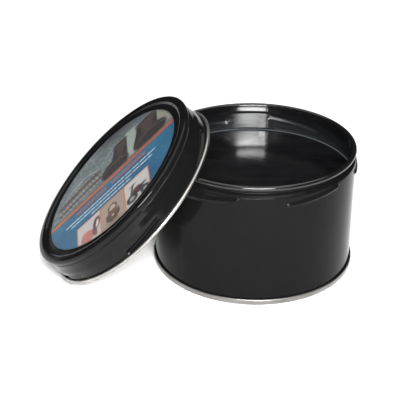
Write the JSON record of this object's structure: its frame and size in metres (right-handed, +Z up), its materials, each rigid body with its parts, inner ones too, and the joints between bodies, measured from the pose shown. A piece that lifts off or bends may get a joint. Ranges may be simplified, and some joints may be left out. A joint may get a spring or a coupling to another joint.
{
  "type": "shoe polish tin",
  "caption": "Round black tinplate polish tin with a necked, lugged mouth and a rolled rim, filled with black paste, its screw lid off and leaning on the rim.",
  "frame": {"origin": "centre of the tin's base ring, on the surface it stands on", "axes": "+Z up along the tin's axis; the lid leans towards -X; the printed picture's upper edge faces +Y"},
  "size_m": [0.1728, 0.1219, 0.0902],
  "materials": {
    "black_lacquer": "gloss black lacquer on tinplate",
    "stripe_lacquer": "satin cured lacquer",
    "tinplate": "bare rolled tinplate",
    "compound": "matt sealing compound",
    "polish_wax": "smooth semi-gloss wax paste",
    "lid_lacquer": "gloss black lacquer outside, bare tinplate inside",
    "label_print": "printed and varnished picture in blue, brown and orange",
    "liner_foam": "closed-cell foam sheet"
  },
  "bodies": {
    "tin": {"body_wall": "black_lacquer", "seam_stripe": "stripe_lacquer", "bottom_end": "tinplate", "seam_compound": "compound", "polish": "polish_wax"},
    "liner": {"lid_liner": "liner_foam"},
    "lid": {"lid_shell": "lid_lacquer", "lid_label": "label_print"}
  },
  "joints": [
    {"name": "lid_swing", "type": "hinge", "parent": "tin", "child": "liner", "pos_m": [0.00376, 0.00053, -0.02765], "axis": [-0.1392, 0.9903, 0], "range_deg": [0, 44]},
    {"name": "lid_turn", "type": "hinge", "parent": "liner", "child": "lid", "pos_m": [-0.06578, -0.00924, 0.0396], "axis": [-0.6879, -0.0967, 0.7193], "continuous": true}
  ]
}
